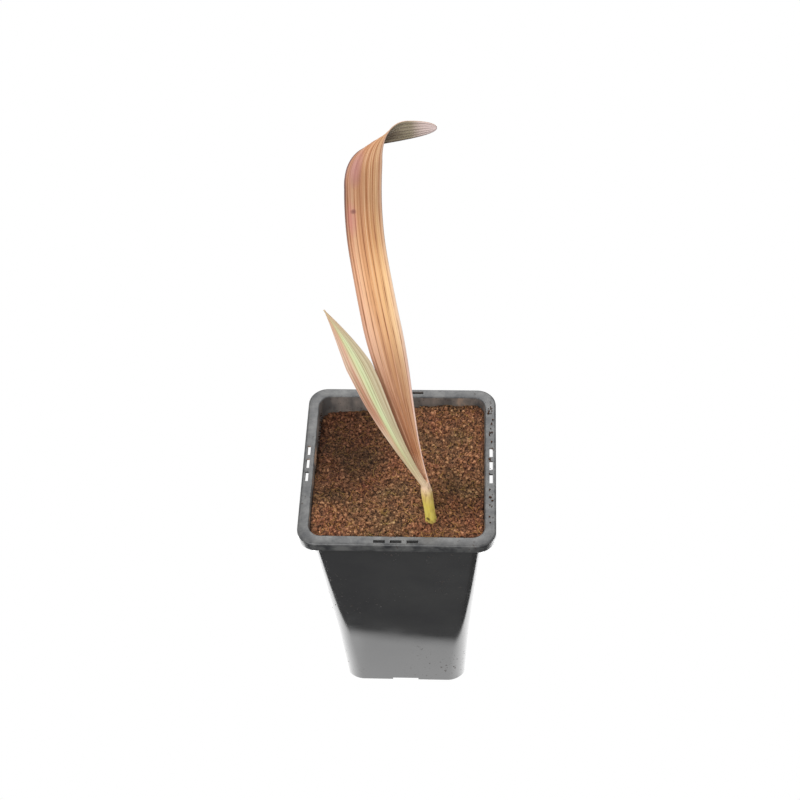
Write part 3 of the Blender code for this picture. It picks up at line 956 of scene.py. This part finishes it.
def tall_face_look():
    """Orange tan with paler edges, darker low down and under the bend where shade is painted, and
    streaked along.
    """
    look = Look("tall_leaf_face", 0.5)
    across, along, _ = look.split(look.place("UV"))
    base = look.ramp(
        across,
        (
            (0.0, tone(222, 168, 138)),
            (0.16, tone(250, 200, 162)),
            (0.36, tone(238, 182, 132)),
            (0.62, tone(238, 184, 126)),
            (0.86, tone(252, 212, 158)),
            (1.0, tone(246, 216, 190)),
        ),
    )
    # Painted shade along the blade: darker low down and under the bend, brightest in between.
    painted_shade = look.ramp(
        along,
        (
            (0.0, tone(214, 190, 176)),
            (0.16, tone(206, 186, 176)),
            (0.30, tone(200, 182, 180)),
            (0.40, tone(222, 216, 222)),
            (0.48, tone(250, 250, 255)),
            (0.54, tone(255, 255, 255)),
            (0.62, tone(255, 252, 248)),
            (0.70, tone(220, 206, 196)),
            (0.78, tone(190, 176, 172)),
        ),
    )
    base = look.mix(1.0, base, painted_shade, "MULTIPLY")
    base = streaked(look, base, tone(176, 116, 84), tone(250, 212, 170))
    lines = grooves(look, across, TALL_LEAF.pleats, 0.05, 0.17)
    patchy = look.ramp(look.noise(look.place("UV", (9, 11, 1)), 1, 4), ((0.36, 0.2), (0.60, 1.0)))
    base = look.mix(look.maths("MULTIPLY", lines, patchy), base, tone(158, 100, 66))
    low_red = look.ramp(along, ((0.04, 0.0), (0.12, 0.5), (0.42, 0.0)))
    base = look.mix(look.maths("MULTIPLY", low_red, patchy), base, tone(172, 108, 80))
    base = look.mix(look.ramp(along, ((0.05, 0.8), (0.13, 0.0))), base, tone(248, 206, 176))
    bands = look.noise(look.place("UV", (20, 1.7, 1)), 1, 3, 0.6)
    lower = look.ramp(along, ((0.06, 0.2), (0.14, 1.0), (0.34, 0.9), (0.55, 0.25)))
    dark_bands = look.maths("MULTIPLY", look.ramp(bands, ((0.34, 0.8), (0.47, 0.0))), lower)
    base = look.mix(dark_bands, base, tone(148, 92, 66))
    light_bands = look.maths("MULTIPLY", look.ramp(bands, ((0.53, 0.0), (0.66, 0.75))), lower)
    base = look.mix(light_bands, base, tone(246, 206, 178))
    right_edge = look.ramp(across, ((0.90, 0.0), (0.97, 0.9)))
    pale = look.maths("MULTIPLY", right_edge, look.ramp(along, ((0.30, 1.0), (0.5, 0.0))))
    base = look.mix(pale, base, tone(250, 216, 200))
    bruise = look.spot((across, along), (0.26, 0.835), (0.20, 0.04), 0.8)
    base = look.mix(bruise, base, tone(176, 122, 118))
    blush = look.spot((across, along), (0.16, 0.735), (0.16, 0.04), 0.45)
    base = look.mix(blush, base, tone(206, 130, 132))
    nick = look.spot((across, along), (0.22, 0.752), (0.09, 0.006), 0.9)
    base = look.mix(nick, base, tone(140, 92, 84))
    left_edge = look.ramp(across, ((0.012, 1.0), (0.04, 0.0)))
    dark_edge = look.maths("MULTIPLY", left_edge, look.ramp(along, ((0.60, 0.15), (0.80, 0.9))))
    look.colour(look.mix(dark_edge, base, tone(112, 84, 82)))
    leaf_surface(look)
    return look


def tall_back_look():
    """The underside: grey brown where the tip rolls back, its own colour darkened there by painted
    shade, and pale at its end.
    """
    look = Look("tall_leaf_back", 0.55)
    across, along, _ = look.split(look.place("UV"))
    # Where the tip rolls back, the grey brown is partly the underside's own colour and partly painted
    # shade.
    base = look.ramp(
        along,
        (
            (0.0, tone(196, 160, 130)),
            (0.70, tone(206, 170, 136)),
            (0.775, tone(140, 116, 110)),
            (0.84, tone(134, 114, 104)),
            (0.90, tone(128, 116, 96)),
            (0.955, tone(146, 136, 110)),
            (0.975, tone(222, 200, 194)),
            (1.0, tone(236, 214, 212)),
        ),
    )
    base = streaked(look, base, tone(108, 92, 80), tone(204, 186, 170))
    lines = grooves(look, across, TALL_LEAF.pleats, 0.04, 0.14)
    base = look.mix(look.maths("MULTIPLY", lines, 0.6), base, tone(104, 86, 76))
    blotch = look.spot((across, along), (0.42, 0.90), (0.34, 0.05), 0.75)
    base = look.mix(blotch, base, tone(96, 82, 68))
    # Painted shade: a dark line along the rolled tip's lower edge.
    edge = look.maths("MULTIPLY", look.ramp(across, ((0.02, 1.0), (0.10, 0.0))), 0.8)
    edge = look.maths("MULTIPLY", edge, look.ramp(along, ((0.74, 0.0), (0.78, 1.0))))
    look.colour(look.mix(edge, base, tone(96, 82, 80)))
    leaf_surface(look)
    return look


def short_look(name, dim):
    """Pale green along the middle, tan at the left edge and a greyer, darker tan at the right that is
    painted shade, dimmed by a colour.
    """
    look = Look(name, 0.5)
    across, along, _ = look.split(look.place("UV"))
    # The greyer, darker right strip is painted shade on the leaf's turned right half.
    base = look.ramp(
        across,
        (
            (0.0, tone(232, 196, 176)),
            (0.26, tone(222, 172, 146)),
            (0.38, tone(214, 196, 146)),
            (0.48, tone(212, 226, 170)),
            (0.62, tone(220, 226, 182)),
            (0.72, tone(196, 184, 146)),
            (1.0, tone(206, 188, 158)),
        ),
    )
    russet = look.spot((across, along), (0.16, 0.56), (0.30, 0.20), 0.85)
    base = look.mix(russet, base, tone(186, 126, 98))
    cream = look.ramp(along, ((0.20, 0.8), (0.46, 0.0)))
    base = look.mix(cream, base, tone(212, 198, 154))
    base = look.mix(look.ramp(along, ((0.06, 0.8), (0.2, 0.0))), base, tone(250, 214, 180))
    tip = look.ramp(along, ((0.86, 0.0), (0.97, 0.75)))
    base = look.mix(tip, base, tone(206, 168, 132))
    base = streaked(look, base, tone(160, 128, 92), tone(240, 232, 200), 30)
    lines = grooves(look, across, SHORT_LEAF.pleats, 0.04, 0.13)
    base = look.mix(look.maths("MULTIPLY", lines, 0.5), base, tone(156, 132, 92))
    look.colour(look.mix(1.0, base, dim, "MULTIPLY"))
    leaf_surface(look)
    return look


def make_leaves():
    looks = (tall_face_look(), tall_back_look())
    make_blade("tall_blade", TALL_LEAF, ("tall_leaf", "tall_leaf_tip"), looks)
    face = short_look("short_leaf_face", tone(255, 255, 255))
    back = short_look("short_leaf_back", tone(232, 232, 224))
    make_blade("short_blade", SHORT_LEAF, ("short_leaf",), (face, back))


# Sheath


def sheath_look():
    """Yellow green and veined, browner at the foot, with a dark nick."""
    look = Look("leaf_sheath", 0.45)
    across, _, height = look.split(look.place("Object"))
    low, high = SHEATH_LOW[2], SHEATH_HIGH[2]
    share = look.maths("DIVIDE", look.maths("SUBTRACT", height, low), high - low)
    base = look.ramp(
        share,
        (
            (0.0, tone(196, 176, 96)),
            (0.12, tone(232, 216, 104)),
            (0.5, tone(226, 206, 96)),
            (0.78, tone(226, 196, 116)),
            (1.0, tone(238, 204, 172)),
        ),
    )
    veins = look.noise(look.place("Object", (1400, 1400, 60)), 1, 3, 0.6)
    base = look.mix(look.ramp(veins, ((0.34, 0.65), (0.5, 0.0))), base, tone(150, 112, 66))
    base = look.mix(look.ramp(veins, ((0.55, 0.0), (0.75, 0.6))), base, tone(240, 226, 160))
    nick = look.spot((across, height), NICK_PLACE, (0.0013, 0.0016), 1.6)
    look.colour(look.mix(look.maths("MINIMUM", nick, 0.85), base, tone(70, 52, 30)))
    look.relief(veins, 0.0002, 0.6)
    return look


def bulge(angle, middle, spread):
    return math.exp(-(((angle - middle) / spread) ** 2))


def oval_ring(centre, across, deep, seam):
    """An oval section with a fold along its front left, where the sheath overlaps itself."""
    points = []
    for side in range(SHEATH_SIDES):
        angle = side / SHEATH_SIDES * math.tau
        fold = 1 + seam * bulge(angle, FOLD_ANGLE, FOLD_SPREAD)
        crease = 1 - seam * bulge(angle, CREASE_ANGLE, CREASE_SPREAD)
        reach = Vector((across * math.cos(angle), deep * math.sin(angle), 0))
        points.append(centre + reach * fold * crease)
    return points


def make_sheath():
    rings = []
    for ring in range(SHEATH_RINGS):
        share = ring / (SHEATH_RINGS - 1)
        flare = SHEATH_FLARE * bulge(share, 0, 0.10)
        closing = 1 - 0.4 * smooth_step((share - 0.7) / 0.3)
        across = (SHEATH_HALF + SHEATH_WIDENING * share + flare) * closing
        deep = (SHEATH_HALF_DEPTH + SHEATH_DEEPENING * share + flare) * closing
        centre = SHEATH_FOOT.lerp(SHEATH_TOP, share)
        rings.append(oval_ring(centre, across, deep, SHEATH_FOLD * (1 - share)))
    looks = (sheath_look(),)
    finished(drawn_through(rings), "sheath_stalk", ("leaf_sheath",), looks, SHEATH_SHARP_ANGLE)


# Stage, light and camera


def emission_floor():
    """A white floor. In reflections it is a bright sheet that ends a little before the pot."""
    look = Look("stage_floor", 1)
    x, y, _ = look.split(look.place("Object"))
    wide = look.ramp(look.maths("ABSOLUTE", x), SHEET_WIDTH)
    slanted = look.maths("ADD", look.maths("ABSOLUTE", y), look.maths("MULTIPLY", x, SHEET_SLANT))
    deep = look.ramp(slanted, SHEET_DEPTH)
    sheet = look.maths("MULTIPLY", look.maths("MULTIPLY", wide, deep), SHEET_GLOW)
    rays = look.add("ShaderNodeLightPath").outputs
    strength = look.maths("MULTIPLY", rays["Is Glossy Ray"], sheet)
    strength = look.maths("ADD", strength, rays["Is Camera Ray"])
    bounce = look.maths("MULTIPLY", rays["Is Diffuse Ray"], FLOOR_BOUNCE)
    strength = look.maths("ADD", strength, bounce)
    glow = look.add("ShaderNodeEmission", Strength=strength)
    look.tree.links.new(glow.outputs[0], look.tree.nodes["Material Output"].inputs["Surface"])
    return look


def make_stage():
    bm = bmesh.new()
    bmesh.ops.create_grid(bm, x_segments=1, y_segments=1, size=STAGE_HALF)
    floor = mesh_object(bm, "stage_floor")
    floor.data.materials.append(emission_floor().material)


def make_world():
    """White where the camera sees it, and a dimmer fill light all round."""
    world = bpy.data.worlds.new("studio")
    bpy.context.scene.world = world
    world.use_nodes = True
    tree = world.node_tree
    background = tree.nodes["Background"]
    background.inputs["Color"].default_value = (1, 1, 1, 1)
    rays = tree.nodes.new("ShaderNodeLightPath")
    share = tree.nodes.new("ShaderNodeMapRange")
    share.inputs["To Min"].default_value = WORLD_FILL
    share.inputs["To Max"].default_value = 1
    tree.links.new(rays.outputs["Is Camera Ray"], share.inputs["Value"])
    tree.links.new(share.outputs["Result"], background.inputs["Strength"])


def add_softbox(name, place, aim, width, energy):
    light = bpy.data.lights.new(name, "AREA")
    light.size = width
    light.energy = energy
    obj = bpy.data.objects.new(name, light)
    obj.location = place
    obj.rotation_euler = (Vector(aim) - Vector(place)).to_track_quat("-Z", "Y").to_euler()
    obj.visible_camera = False
    bpy.context.scene.collection.objects.link(obj)


def make_camera():
    azimuth = math.radians(CAMERA_AZIMUTH)
    elevation = math.radians(CAMERA_ELEVATION)
    roll = math.radians(CAMERA_ROLL)
    flat = math.cos(elevation)
    back = Vector((math.sin(azimuth) * flat, -math.cos(azimuth) * flat, math.sin(elevation)))
    right = Vector((math.cos(azimuth), math.sin(azimuth), 0))
    up = back.cross(right)
    turned_right = math.cos(roll) * right + math.sin(roll) * up
    turned_up = math.cos(roll) * up - math.sin(roll) * right
    data = bpy.data.cameras.new("camera")
    data.sensor_width = CAMERA_SENSOR
    data.lens = CAMERA_LENS
    camera = bpy.data.objects.new("camera", data)
    turn = Matrix((turned_right, turned_up, back)).transposed().to_4x4()
    camera.matrix_world = Matrix.Translation(CAMERA_TARGET + back * CAMERA_DISTANCE) @ turn
    bpy.context.scene.collection.objects.link(camera)
    bpy.context.scene.camera = camera


make_camera()
make_pot()
make_soil_bed()
make_loose_soil()
make_sheath()
make_leaves()
make_stage()
make_world()
for softbox in SOFTBOXES:
    add_softbox(*softbox)
bpy.context.scene.view_settings.view_transform = "Standard"
